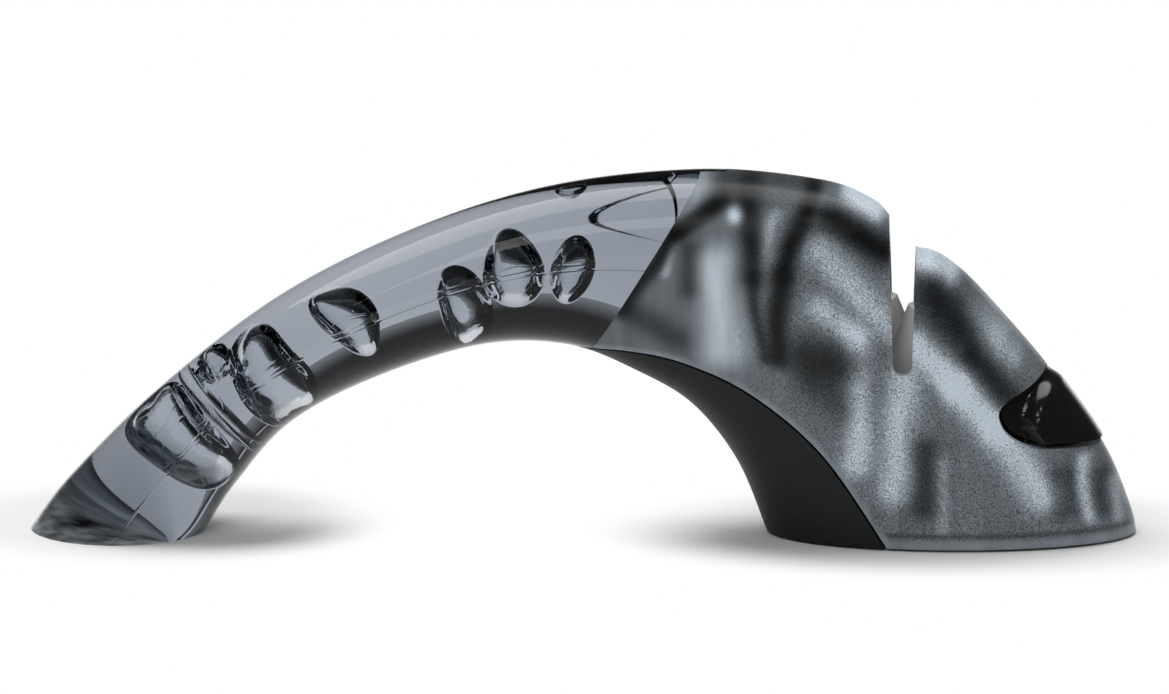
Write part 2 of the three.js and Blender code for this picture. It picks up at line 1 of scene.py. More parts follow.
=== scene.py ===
# %% [markdown]
# # A bridge-shaped knife sharpener in clear smoke-grey plastic
# The solids come from the CAD model. This lesson gives them their looks: a clear cast handle with air
# bubbles in it, a frosted head, a matt insert under the arch and a polished black button in the nose.

import math

import bmesh
import bpy
import numpy as np
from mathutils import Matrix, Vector


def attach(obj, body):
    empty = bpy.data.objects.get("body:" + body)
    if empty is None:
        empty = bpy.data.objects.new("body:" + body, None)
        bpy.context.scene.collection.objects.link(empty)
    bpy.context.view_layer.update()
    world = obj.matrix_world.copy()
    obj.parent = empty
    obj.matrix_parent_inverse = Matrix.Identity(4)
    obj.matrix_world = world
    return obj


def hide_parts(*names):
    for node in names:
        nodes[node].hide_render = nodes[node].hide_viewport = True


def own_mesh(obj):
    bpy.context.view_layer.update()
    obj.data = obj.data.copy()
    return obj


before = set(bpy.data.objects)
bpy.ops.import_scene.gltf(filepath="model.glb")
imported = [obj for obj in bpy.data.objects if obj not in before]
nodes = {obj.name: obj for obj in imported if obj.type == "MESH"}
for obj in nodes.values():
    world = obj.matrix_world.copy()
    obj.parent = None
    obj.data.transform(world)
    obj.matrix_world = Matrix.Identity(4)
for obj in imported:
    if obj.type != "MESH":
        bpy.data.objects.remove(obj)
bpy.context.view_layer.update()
bpy.context.scene.view_settings.view_transform = "Standard"

# %% [markdown]
# ## The arch as one surface
# On the real part the handle and the head are one moulding. It could be swept along a curve, but its
# depth, width and squareness all change on the way. So two rails are drawn in the middle plane, and
# sections fan between them: a section is a superellipse whose long axis joins the rails.

# %% Rails and sections
MM = 0.001
FOOT_TIP_X, NOSE_X = -105.0, 105.0
FOOT_HEEL_X, BASE_HEEL_X = FOOT_TIP_X + 33.2, NOSE_X - 70.2
CROWN_Z, ARCH_Z, BASE_LIFT, WALL = 69.2, 36.7, 0.5, 2.2
FOOT_HALF_WIDTH, GRIP_HALF_WIDTH, HEAD_HALF_WIDTH, BASE_HALF_WIDTH = 17.5, 13.2, 16.4, 20.0
# Crown line: shares of the whole length and of the crown's height
CROWN_LINE = np.array([
    (0, 0), (0.0343, 0.1387), (0.1148, 0.385), (0.2267, 0.65), (0.351, 0.84), (0.4752, 0.957),
    (0.6076, 1), (0.7143, 0.97), (0.7595, 0.92), (0.7771, 0.871), (0.799, 0.789), (0.8162, 0.773),
    (0.8319, 0.747), (0.859, 0.672), (0.919, 0.464), (0.97, 0.2486), (0.9943, 0.0795), (1, 0.0072),
])
# Arch line: shares of the way between the heels and of the arch's height
ARCH_LINE = np.array([
    (0, 0), (0.0582, 0.256), (0.1529, 0.567), (0.2983, 0.8), (0.4906, 0.986), (0.6454, 0.995),
    (0.7674, 0.865), (0.8668, 0.69), (0.9475, 0.387), (1, 0.0136),
])
# Sections from the foot to the base: place, half-width and squareness (2 is an ellipse)
SECTIONS = np.array([
    (0, FOOT_HALF_WIDTH, 2), (0.14, 0.8314 * FOOT_HALF_WIDTH, 2.1), (0.32, GRIP_HALF_WIDTH, 2.2),
    (0.5, 0.883 * HEAD_HALF_WIDTH, 2.5), (0.7, HEAD_HALF_WIDTH, 3), (0.87, 0.91 * BASE_HALF_WIDTH, 2.5),
    (1, BASE_HALF_WIDTH, 2),
])


def placed(line, from_x, to_x, height):
    """A line given in shares, put between two places along and up to a height."""
    return np.stack([from_x + line[:, 0] * (to_x - from_x), line[:, 1] * height], axis=1)


def smooth_curve(knots, count, power):
    """Points on a curve through the knots. Between two knots it is a cubic whose slopes come from the
    neighbours, with knot distances raised to power (0 for even steps, 0.5 for centripetal)."""
    knots = np.asarray(knots, float)
    first = 2 * knots[0] - knots[1] if power else knots[0]
    last = 2 * knots[-1] - knots[-2] if power else knots[-1]
    padded = np.vstack([first, knots, last])
    step = np.maximum(np.linalg.norm(np.diff(padded, axis=0), axis=1), 1e-9) ** power
    place = np.linspace(0, len(knots) - 1, count)
    at = np.minimum(place.astype(int), len(knots) - 2)
    w = (place - at)[:, None]
    p0, p1, p2, p3 = (padded[at + k] for k in range(4))
    d0, d1, d2 = (step[at + k][:, None] for k in range(3))
    slope1 = d1 * ((p1 - p0) / d0 - (p2 - p0) / (d0 + d1) + (p2 - p1) / d1)
    slope2 = d1 * ((p2 - p1) / d1 - (p3 - p1) / (d1 + d2) + (p3 - p2) / d2)
    return ((2 * p1 - 2 * p2 + slope1 + slope2) * w**3
            + (3 * p2 - 3 * p1 - 2 * slope1 - slope2) * w**2 + slope1 * w + p1)


def at_length(points, share):
    """Points at shares 0 to 1 of a curve's own length, by straight interpolation."""
    length = np.insert(np.cumsum(np.linalg.norm(np.diff(points, axis=0), axis=1)), 0, 0)
    return np.stack([np.interp(share * length[-1], length, column) for column in points.T], axis=1)


CURVE_STEPS = 4001
outer_line = smooth_curve(placed(CROWN_LINE, FOOT_TIP_X, NOSE_X, CROWN_Z), CURVE_STEPS, 0)
inner_line = smooth_curve(placed(ARCH_LINE, FOOT_HEEL_X, BASE_HEEL_X, ARCH_Z), CURVE_STEPS, 0)
station_line = smooth_curve(SECTIONS, CURVE_STEPS, 0.5)


def arch_grid(along, ring, inset=0.0):
    """Rows of superellipse rings, in millimetres. With r = (|cos|^n + |sin|^n)^(-1/n), a point is the
    middle of the rails + r cos along the line that joins them + r sin of the half-width across, drawn in
    by inset."""
    outer, inner = at_length(outer_line, along), at_length(inner_line, along)
    middle, depth = (outer + inner) / 2, (outer - inner) / 2
    half = np.interp(along, station_line[:, 0], station_line[:, 1])[:, None]
    squareness = np.interp(along, station_line[:, 0], station_line[:, 2])[:, None]
    angle = np.linspace(0, 2 * np.pi, ring, endpoint=False)[None, :]
    reach = (np.abs(np.cos(angle)) ** squareness + np.abs(np.sin(angle)) ** squareness) ** (-1 / squareness)
    u, v = reach * np.cos(angle), reach * np.sin(angle)
    shrink = 1 - inset / np.linalg.norm(depth, axis=1)[:, None]
    x = middle[:, :1] + u * shrink * depth[:, :1]
    z = middle[:, 1:] + u * shrink * depth[:, 1:]
    return np.stack([x, v * (half - inset), z], axis=2)


print("rails:", len(outer_line), "points; crown at z", round(outer_line[:, 1].max(), 2))

# %% [markdown]
# ## From a grid to a mesh
# Every new surface here is a grid of points, so one helper turns a grid into quads. A tube of rings is
# closed by a fan at each end. Cuts are made as on the bench: a blank is made first, then milled.

# %% Grid and cutting helpers
def tube_faces(rows, ring):
    """Quads between neighbouring rings, and one many-sided face on each end ring."""
    index = np.arange(rows * ring).reshape(rows, ring)
    after = np.roll(index, -1, axis=1)
    quads = np.stack([index[:-1], after[:-1], after[1:], index[1:]], axis=2).reshape(-1, 4)
    return quads, [index[0][::-1].tolist(), index[-1].tolist()]


def piece_from(name, points, faces):
    """A mesh object from points in millimetres, faces turned outwards."""
    mesh = bpy.data.meshes.new(name)
    mesh.from_pydata((np.asarray(points, float) * MM).reshape(-1, 3).tolist(), [], faces)
    mesh.validate()
    made = bpy.data.objects.new(name, mesh)
    bpy.context.scene.collection.objects.link(made)
    co = np.empty(len(mesh.vertices) * 3)
    mesh.vertices.foreach_get("co", co)
    co = co.reshape(-1, 3)
    mesh.calc_loop_triangles()
    corners = np.empty(len(mesh.loop_triangles) * 3, int)
    mesh.loop_triangles.foreach_get("vertices", corners)
    a, b, c = co[corners.reshape(-1, 3)].transpose(1, 0, 2)
    if np.einsum("ij,ij->i", a, np.cross(b, c)).sum() < 0:
        mesh.flip_normals()
    return made


def tube_piece(name, grid):
    rows, ring = grid.shape[:2]
    quads, ends = tube_faces(rows, ring)
    return piece_from(name, grid, quads.tolist() + ends)


def slab_piece(name, outline, reach):
    """A side-view outline of x and z pushed through from -reach to +reach across."""
    flat = np.array(outline, float)
    near = np.insert(flat, 1, -reach, axis=1)
    far = np.insert(flat, 1, reach, axis=1)
    return tube_piece(name, np.stack([near, far]))


def carve(blank, tool, action="DIFFERENCE"):
    """Cuts the blank with the tool, or keeps what they share, and removes the tool."""
    cut = blank.modifiers.new("cut", "BOOLEAN")
    cut.operation, cut.solver, cut.object = action, "MANIFOLD", tool
    ready = blank.evaluated_get(bpy.context.evaluated_depsgraph_get())
    old = blank.data
    blank.data = bpy.data.meshes.new_from_object(ready)
    blank.modifiers.clear()
    bpy.data.objects.remove(tool)
    bpy.data.meshes.remove(old)


SHARP_DEGREES = 32


def finish_piece(piece, body, sharp_degrees=SHARP_DEGREES, stands_for=()):
    """Smooth shading with crisp cut edges, and the piece's place in the moving frame."""
    piece.data.shade_smooth()
    piece.data.set_sharp_from_angle(angle=math.radians(sharp_degrees))
    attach(piece, body)
    if stands_for:
        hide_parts(*stands_for)
    print(piece.name, "has", len(piece.data.polygons), "faces")


# %% [markdown]
# ## The moulding
# A solid arch, hollowed in the head from its open base, then cut by the insert's edge, the knife slot
# and the button's window.

# %% Cutters
SLOT_X, SLOT_MOUTH_WIDTH, SLOT_BOTTOM_WIDTH = NOSE_X - 44.45, 5.0, 3.6
SLOT_BOTTOM_Z, SLOT_MOUTH_Z = CROWN_Z - 35.8, 0.8 * CROWN_Z
HOLLOW_START, END_WALL_TOP_X, END_WALL_LEAN = 0.5, NOSE_X - 78, math.radians(31.8)
BODY_RING, HANDLE_ROWS, HEAD_ROWS = 176, 150, 300
TOOL_RING, TOOL_ROWS, REACH = 96, 120, 40.0
BELOW_BASE = -BASE_LIFT - WALL
EDGE_STEPS, EDGE_SPARE, SLOT_ROUND_STEPS = 80, 1.0, 25
EDGE_START_X, EDGE_END_X = BASE_HEEL_X - 39, BASE_HEEL_X + 23
EDGE_LINE = np.array([
    (0, 0.9946), (0.2081, 1.0054), (0.3903, 0.951), (0.5935, 0.79), (0.8048, 0.4877), (1, 0.0136),
])
edge_line = smooth_curve(placed(EDGE_LINE, EDGE_START_X, EDGE_END_X, ARCH_Z), EDGE_STEPS, 0)


def arch_blank():
    """The whole arch, with closer rings along the head."""
    handle = np.linspace(0, HOLLOW_START, HANDLE_ROWS, endpoint=False)
    head = np.linspace(HOLLOW_START, 1, HEAD_ROWS)
    return tube_piece("smoke_moulding", arch_grid(np.concatenate([handle, head]), BODY_RING))


def head_hollow():
    """The head's inner skin, its last ring carried straight down, cut off by a slanted end wall."""
    grid = arch_grid(np.linspace(HOLLOW_START, 1, TOOL_ROWS), TOOL_RING, WALL)
    below = grid[-1:].copy()
    below[..., 2] = BELOW_BASE
    hollow = tube_piece("hollow", np.concatenate([grid, below]))
    end_foot = END_WALL_TOP_X - math.tan(END_WALL_LEAN) * (CROWN_Z - BELOW_BASE)
    solid_handle = [(FOOT_TIP_X, BELOW_BASE), (end_foot, BELOW_BASE),
                    (END_WALL_TOP_X, CROWN_Z), (FOOT_TIP_X, CROWN_Z)]
    carve(hollow, slab_piece("solid_handle", solid_handle, REACH))
    return hollow


def edge_tool(shift):
    """All that lies under the sweeping edge between the frosted head and the insert."""
    outline = np.vstack([edge_line - shift, (EDGE_END_X + EDGE_SPARE - shift, BELOW_BASE),
                         (EDGE_START_X - shift, BELOW_BASE)])
    return slab_piece("under_edge", outline, REACH)


def slot_tool():
    """A wedge that narrows downwards and ends in a half round."""
    radius, top = SLOT_BOTTOM_WIDTH / 2, CROWN_Z + WALL
    slope = (SLOT_MOUTH_WIDTH - SLOT_BOTTOM_WIDTH) / 2 / (SLOT_MOUTH_Z - SLOT_BOTTOM_Z)
    half = SLOT_MOUTH_WIDTH / 2 + slope * (top - SLOT_MOUTH_Z)
    turn = np.linspace(np.pi, 2 * np.pi, SLOT_ROUND_STEPS)
    round_end = np.stack([SLOT_X + radius * np.cos(turn),
                          SLOT_BOTTOM_Z + radius + radius * np.sin(turn)], axis=1)
    return slab_piece("slot", np.vstack([(SLOT_X - half, top), round_end, (SLOT_X + half, top)]), REACH)


def bow(start, pull, end, count=14):
    """A parabola from start to end, pulled towards one point."""
    t = np.linspace(0, 1, count)[:, None]
    return (1 - t) ** 2 * np.array(start) + 2 * t * (1 - t) * np.array(pull) + t**2 * np.array(end)


PAD_X, PAD_Z = NOSE_X - 13.3, 0.344 * CROWN_Z
# Corners and pulls of the window, from the middle of the button's pad: forwards and up
BROW, BROW_PULL, SHOULDER = (-3.3, 9.5), (-5.5, 7.2), (-9.1, 5.4)
TIP_PULL, TIP, CHIN_PULL, CHIN = (-13, 3.8), (-13, 1.6), (-12.4, -3.2), (-5.3, -4.8)
SILL_DROP = 6.6


def window_outline(gap, lower_gap):
    """The button's window seen from the side, open past the nose."""
    def corner(place, forward, up):
        return PAD_X + place[0] + forward, PAD_Z + place[1] + up

    outside = NOSE_X + 2 * WALL
    shoulder, tip = corner(SHOULDER, 0, -gap), corner(TIP, gap, 0)
    return np.vstack([
        (outside, PAD_Z + BROW[1] - gap),
        bow(corner(BROW, 0, -gap), corner(BROW_PULL, 0, -gap), shoulder),
        bow(shoulder, corner(TIP_PULL, gap, -gap), tip)[1:],
        bow(tip, corner(CHIN_PULL, gap, lower_gap / 2), corner(CHIN, 0, lower_gap))[1:],
        (outside, PAD_Z - SILL_DROP + lower_gap),
    ])


shell = arch_blank()
carve(shell, head_hollow())
insert = shell.copy()
insert.data = shell.data.copy()
insert.name = "insert_cover"
bpy.context.scene.collection.objects.link(insert)
carve(shell, edge_tool(0))
carve(shell, slot_tool())
carve(shell, slab_piece("window", window_outline(0, 0), REACH))
INSERT_GAP = 0.3
carve(insert, edge_tool(INSERT_GAP), "INTERSECT")
print("moulding:", len(shell.data.vertices), "points")

# %% [markdown]
# ## Air bubbles
# The clear handle is cast with large air bubbles, which show as dark-rimmed pebbles. In a renderer a
# bubble is a closed surface inside the clear solid whose faces look into the hollow, so it is joined to
# the moulding's own mesh with its faces turned round.

# %% Bubbles
BUBBLE_ROWS, BUBBLE_RING, POLE_GAP = 40, 56, 0.02
# middle x and z, depth y, half-sizes along and across the handle, half-thickness, tilt in degrees,
# then how far the outline leans to a rounded triangle, where its first corner points, and to a box
BUBBLES = [
    (-76.2, 17.6, -1.0, 7.6, 7.4, 7.0, 46, 0.06, 30, 0.06),
    (-70.6, 23.2, 0.0, 0.7, 6.6, 6.0, 44, 0.0, 0, 0.0),
    (-69.0, 24.8, 0.0, 0.5, 7.0, 6.2, 42, 0.0, 0, 0.0),
    (-67.6, 29.2, 1.0, 3.6, 2.6, 4.0, 46, 0.08, 90, 0.0),
    (-59.0, 30.2, -1.0, 7.2, 5.8, 6.0, 38, 0.10, 75, 0.05),
    (-43.9, 40.7, -2.0, 6.2, 4.4, 4.5, -8, 0.10, 60, 0.0),
    (-22.3, 45.2, -2.0, 5.2, 5.6, 4.8, 22, 0.05, 100, 0.03),
    (-12.7, 50.6, -2.0, 6.0, 5.7, 5.6, 5, 0.03, 90, 0.0),
    (-1.6, 51.2, -3.0, 4.1, 5.8, 4.4, -24, 0.0, 0, 0.0),
    (-1.8, 63.2, -1.0, 2.9, 1.7, 2.2, 5, 0.12, -90, 0.0),
]


def bubble_grid(x, z, y, along, across, thick, tilt, three, corner, four):
    """An ellipsoid whose radius is 1 + three p^3 cos(3 (f - corner)) - four p^4 cos(4 f), where f is the
    direction seen from the side and p is how much of it lies in that plane."""
    polar = np.linspace(POLE_GAP, np.pi - POLE_GAP, BUBBLE_ROWS)[:, None]
    turn = np.linspace(0, 2 * np.pi, BUBBLE_RING, endpoint=False)[None, :]
    a, b = np.cos(polar) * np.ones_like(turn), np.sin(polar) * np.cos(turn)
    facing, plane = np.arctan2(b, a), np.hypot(a, b)
    swell = (1 + three * plane**3 * np.cos(3 * (facing - math.radians(corner)))
             - four * plane**4 * np.cos(4 * facing))
    a, b = along * swell * a, across * swell * b
    lean = math.radians(tilt)
    return np.stack([x + a * math.cos(lean) - b * math.sin(lean),
                     y + thick * swell * np.sin(polar) * np.sin(turn),
                     z + a * math.sin(lean) + b * math.cos(lean)], axis=2)


def add_bubbles(piece):
    """Joins every bubble to the piece's mesh, faces looking into the hollow."""
    made = []
    for index, values in enumerate(BUBBLES):
        bubble = tube_piece(f"bubble_{index}", bubble_grid(*values))
        bubble.data.flip_normals()
        made.append(bubble)
    solid_points = len(piece.data.vertices)
    with bpy.context.temp_override(active_object=piece, selected_editable_objects=[piece, *made]):
        bpy.ops.object.join()
    inside = np.arange(len(piece.data.vertices)) >= solid_points
    piece.data.attributes.new("bubble", "FLOAT", "POINT").data.foreach_set("value", inside.astype(np.float32))
    print("bubbles joined:", len(BUBBLES), "with", int(inside.sum()), "points")


add_bubbles(shell)

# %% [markdown]
# ## The button
# The button is the nose's own skin with a slightly proud thumb pad, scooped in behind it so that its
# wings pass inside the window.

# %% Button
PAD_RADIUS, PAD_PROUD = 5.8, 0.9
SCOOP_DEPTH, SCOOP_SPAN, BUTTON_WALL = 3.6, 3.0, 4.8
WINDOW_GAP, WINDOW_LOWER_GAP = 0.5, 1.0
PAD_SIDE_SHARE = 0.4
BUTTON_FROM, BUTTON_TO, BUTTON_ROWS = 0.74, 0.98, 160


def smooth_step(value):
    t = np.clip(value, 0, 1)
    return t * t * (3 - 2 * t)


def button_grid(along):
    """The skin's grid, moved out by the pad inside a round edge and in by the scoop outside it."""
    grid = arch_grid(along, BODY_RING)
    outer, inner = at_length(outer_line, along), at_length(inner_line, along)
    depth = (outer - inner) / 2
    half = np.interp(along, station_line[:, 0], station_line[:, 1])[:, None]
    size = np.linalg.norm(depth, axis=1)[:, None]
    middle = (outer + inner) / 2
    off_x, off_z = grid[..., 0] - middle[:, :1], grid[..., 2] - middle[:, 1:]
    u = (off_x * depth[:, :1] + off_z * depth[:, 1:]) / size**2
    behind = np.maximum(0, PAD_X - grid[..., 0])
    scoop = smooth_step((np.hypot(behind, grid[..., 2] - PAD_Z) - PAD_RADIUS) / SCOOP_SPAN)
    swell = PAD_PROUD * (1 - scoop) * np.maximum(0, u) / size
    out = grid.copy()
    out[..., 0] += depth[:, :1] * swell
    out[..., 2] += depth[:, 1:] * swell
    out[..., 1] *= 1 + (PAD_PROUD * PAD_SIDE_SHARE * (1 - scoop) - SCOOP_DEPTH * scoop) / half
    return out


button = tube_piece("button_cap", button_grid(np.linspace(BUTTON_FROM, BUTTON_TO, BUTTON_ROWS)))
core = arch_grid(np.linspace(HOLLOW_START, 1, TOOL_ROWS), TOOL_RING, BUTTON_WALL)
carve(button, tube_piece("button_core", core))
carve(button, slab_piece("button_trim", window_outline(WINDOW_GAP, WINDOW_LOWER_GAP), REACH), "INTERSECT")

# %% [markdown]
# ## Finishes
# Each finish is a small material. The ones that share a fine tooth of the mould take it from one node
# group, which puts out a height for a Bump node.

# %% Node helpers
def add_node(tree, kind, values=None, **settings):
    node = tree.nodes.new(kind)
    for key, value in settings.items():
        setattr(node, key, value)
    for socket, value in (values or {}).items():
        node.inputs[socket].default_value = value
    return node


def math_node(tree, operation, first, second=None):
    """One Math node. A number is set on its socket and an output is linked to it."""
    node = add_node(tree, "ShaderNodeMath", operation=operation)
    for index, value in enumerate((first, second)):
        if value is None:
            continue
        if isinstance(value, (int, float)):
            node.inputs[index].default_value = value
        else:
            tree.links.new(value, node.inputs[index])
    return node.outputs[0]


def new_material(name):
    made = bpy.data.materials.new(name)
    made.use_nodes = True
    tree = made.node_tree
    tree.nodes.clear()
    output = add_node(tree, "ShaderNodeOutputMaterial")
    shader = add_node(tree, "ShaderNodeBsdfPrincipled")
    tree.links.new(shader.outputs[0], output.inputs["Surface"])
    place = add_node(tree, "ShaderNodeTexCoord").outputs["Object"]
    return made, tree, shader, output, place


COARSE_GRAINS, COARSE_HEIGHT = 0.35, 0.5


def tooth_group():
    """A fine grain: noise at two sizes, mixed. Inputs: place, size in grains per metre. Output: height."""
    tree = bpy.data.node_groups.new("fine_tooth", "ShaderNodeTree")
    tree.interface.new_socket("Place", in_out="INPUT", socket_type="NodeSocketVector")
    tree.interface.new_socket("Grains per metre", in_out="INPUT", socket_type="NodeSocketFloat")
    tree.interface.new_socket("Height", in_out="OUTPUT", socket_type="NodeSocketFloat")
    source = tree.nodes.new("NodeGroupInput")
    sink = tree.nodes.new("NodeGroupOutput")
    fine = add_node(tree, "ShaderNodeTexNoise", {"Detail": 2.0, "Roughness": 0.6})
    tree.links.new(source.outputs[0], fine.inputs["Vector"])
    tree.links.new(source.outputs[1], fine.inputs["Scale"])
    coarse = add_node(tree, "ShaderNodeTexNoise", {"Detail": 1.0})
    tree.links.new(source.outputs[0], coarse.inputs["Vector"])
    tree.links.new(math_node(tree, "MULTIPLY", source.outputs[1], COARSE_GRAINS), coarse.inputs["Scale"])
    swells = math_node(tree, "MULTIPLY", coarse.outputs["Fac"], COARSE_HEIGHT)
    tree.links.new(math_node(tree, "ADD", fine.outputs["Fac"], swells), sink.inputs[0])
    return tree


FINE_TOOTH = tooth_group()


def add_tooth(tree, place, grains, depth):
    """Places the grain group and a Bump node that reads it. Returns the height and the normal."""
    tooth = add_node(tree, "ShaderNodeGroup", node_tree=FINE_TOOTH)
    tree.links.new(place, tooth.inputs["Place"])
    tooth.inputs["Grains per metre"].default_value = grains
    bump = add_node(tree, "ShaderNodeBump", {"Strength": 1.0, "Distance": depth})
    tree.links.new(tooth.outputs["Height"], bump.inputs["Height"])
    return tooth.outputs["Height"], bump.outputs["Normal"]


def ramp(tree, factor, stops):
    """A colour ramp from (position, colour) stops."""
    node = add_node(tree, "ShaderNodeValToRGB")
    elements = node.color_ramp.elements
    while len(elements) < len(stops):
        elements.new(0.5)
    for element, (position, colour) in zip(elements, stops):
        element.position = position
        element.color = (*colour, 1) if len(colour) == 3 else colour
    tree.links.new(factor, node.inputs["Fac"])
    return node.outputs["Color"]


# %% [markdown]
# ## Plain finishes
# The insert, base and carrier are moulded with a fine matt tooth, the button is polished black, and the
# rollers are unglazed ceramic. A picture of each surface could be wrapped on, but a grain worked out from
# the piece's own coordinates has no seams. So each finish is the same grain with its own two colours.

# %% Plain finishes
TOOTH_STOPS, FOOT_STOPS, FOOT_PAINTED_GLOW = (0.3, 1.1), (0.46, 1.0), 0.15


def toothed_plastic(name, dark, light, roughness, grains, depth, specular=0.5, stops=TOOTH_STOPS):
    """Two colours mixed by the grain's height, which also raises the surface."""
    made, tree, shader, _, place = new_material(name)
    height, normal = add_tooth(tree, place, grains, depth)
    tree.links.new(ramp(tree, height, [(stops[0], dark), (stops[1], light)]), shader.inputs["Base Color"])
    tree.links.new(normal, shader.inputs["Normal"])
    shader.inputs["Roughness"].default_value = roughness
    shader.inputs["Specular IOR Level"].default_value = specular
    return made


charcoal = toothed_plastic("charcoal_plastic", (0.005, 0.0055, 0.006), (0.0125, 0.0135, 0.0142),
                           roughness=0.5, grains=5200, depth=0.00003, specular=0.2)
button_black = toothed_plastic("black_button", (0.007, 0.0066, 0.006), (0.014, 0.0125, 0.011),
                               roughness=0.16, grains=900, depth=0.0000003)
ceramic = toothed_plastic("pale_ceramic", (0.84, 0.84, 0.83), (0.94, 0.94, 0.93),
                          roughness=0.5, grains=3000, depth=0.00001)
ground_foot = toothed_plastic("ground_foot", (0.04, 0.043, 0.046), (0.85, 0.89, 0.92),
                              roughness=0.4, grains=170, depth=0.0001, stops=FOOT_STOPS)
# Painted light: the slot's walls are faces of the smoke moulding, given an opaque light grey that stands for
# their lit look
painted_light_slot_wall = toothed_plastic("painted_light_slot_wall", (0.3, 0.31, 0.33), (0.5, 0.52, 0.55),
                            roughness=0.4, grains=2600, depth=0.00001)
foot_rubber = toothed_plastic("foot_rubber", (0.012, 0.012, 0.012), (0.02, 0.02, 0.02),
                              roughness=0.8, grains=2500, depth=0.00003)


def paint_table_glow(made, strength):
    """Painted light: the ground face glows weakly in its own colour, standing for light from the table that
    comes up through it.
    """
    tree = made.node_tree
    shader = next(node for node in tree.nodes if node.type == "BSDF_PRINCIPLED")
    tree.links.new(shader.inputs["Base Color"].links[0].from_socket, shader.inputs["Emission Color"])
    shader.inputs["Emission Strength"].default_value = strength


paint_table_glow(ground_foot, FOOT_PAINTED_GLOW)


def turned_steel():
    made, tree, shader, _, place = new_material("bright_steel")
    noise = add_node(tree, "ShaderNodeTexNoise", {"Scale": 900.0, "Detail": 2.0})
    tree.links.new(place, noise.inputs["Vector"])
    tree.links.new(ramp(tree, noise.outputs["Fac"], [(0.3, (0.5, 0.51, 0.52)), (0.7, (0.62, 0.63, 0.64))]),
                   shader.inputs["Base Color"])
    shader.inputs["Metallic"].default_value = 1.0
    shader.inputs["Roughness"].default_value = 0.3
    return made


steel = turned_steel()
print("materials so far:", len(bpy.data.materials))

# %% [markdown]
# ## Smoke plastic
# One moulding, two skins: the handle is polished and clear, and the head is frosted by the mould. The
# grey is in the plastic itself, so it is a volume that takes a little light on each millimetre.

# %% Smoke plastic
SMOKE_IOR, SMOKE_TINT, SMOKE_DENSITY = 1.5, (0.32, 0.37, 0.453, 1), 62.0
SPARK_GAIN, DIMMEST = 3.6, 0.2
STREAK_SHAPE, STREAK_SCALE, STREAK_DEPTH = (1.0, 0.3, 0.16), 260.0, 0.9


def smoke_plastic(name, grains, depth, clearness):
    """The smoke-grey plastic with its own grain. The share that lets light through is the clearness."""
    made, tree, shader, output, place = new_material(name)
    _, normal = add_tooth(tree, place, grains, depth)
    tree.links.new(normal, shader.inputs["Normal"])
    shader.inputs["IOR"].default_value = SMOKE_IOR
    shader.inputs["Transmission Weight"].default_value = clearness
    grey = add_node(tree, "ShaderNodeVolumeAbsorption", {"Color": SMOKE_TINT, "Density": SMOKE_DENSITY})
    tree.links.new(grey.outputs[0], output.inputs["Volume"])
    return made, tree, shader, place


def swing(tree, noise, gain):
    """How far a noise lies from its middle, times a gain."""
    return math_node(tree, "MULTIPLY", math_node(tree, "SUBTRACT", noise.outputs["Fac"], 0.5), gain)


clear_smoke, clear_tree, clear_shader, clear_place = smoke_plastic(
    "clear_smoke", grains=300, depth=0.000004, clearness=1.0)
frost_smoke, frost_tree, frost_shader, frost_place = smoke_plastic(
    "frost_smoke", grains=3600, depth=0.000016, clearness=0.12)
frost_shader.inputs["Roughness"].default_value = 0.3
frost_shader.inputs["Specular IOR Level"].default_value = 0.12
painted_light = add_node(frost_tree, "ShaderNodeAttribute", attribute_name="painted_light")
sparkle = add_node(frost_tree, "ShaderNodeTexNoise", {"Scale": 3800.0, "Detail": 1.5, "Roughness": 0.6})
frost_tree.links.new(frost_place, sparkle.inputs["Vector"])
spread = add_node(frost_tree, "ShaderNodeAttribute", attribute_name="frost")
spark = math_node(frost_tree, "MULTIPLY", swing(frost_tree, sparkle, SPARK_GAIN), spread.outputs["Fac"])
spark = math_node(frost_tree, "MAXIMUM", math_node(frost_tree, "ADD", spark, 1.0), DIMMEST)
glow = math_node(frost_tree, "MULTIPLY", painted_light.outputs["Fac"], spark)
# Painted light and shade: noise streaks drawn out upwards, for the insides seen blurred through the frost
stretched = add_node(frost_tree, "ShaderNodeVectorMath", {1: STREAK_SHAPE}, operation="MULTIPLY")
frost_tree.links.new(frost_place, stretched.inputs[0])
streak = add_node(frost_tree, "ShaderNodeTexNoise",
                  {"Scale": STREAK_SCALE, "Detail": 4.0, "Roughness": 0.6, "Distortion": 0.4})
frost_tree.links.new(stretched.outputs[0], streak.inputs["Vector"])
painted_streaks = math_node(frost_tree, "ADD", swing(frost_tree, streak, STREAK_DEPTH), 1.0)
glow = math_node(frost_tree, "MULTIPLY", glow, math_node(frost_tree, "MAXIMUM", painted_streaks, DIMMEST))
# The painted highlights and painted shade become the frost's base colour
frost_tree.links.new(ramp(frost_tree, glow, [(0, (0, 0, 0)), (1, (0.795, 0.9, 1.0))]),
                     frost_shader.inputs["Base Color"])

# The polish is slightly uneven
haze = add_node(clear_tree, "ShaderNodeTexNoise", {"Scale": 220.0, "Detail": 3.0})
clear_tree.links.new(clear_place, haze.inputs["Vector"])
clear_tree.links.new(ramp(clear_tree, haze.outputs["Fac"], [(0.35, (0.01,) * 3), (0.75, (0.04,) * 3)]),
                     clear_shader.inputs["Roughness"])
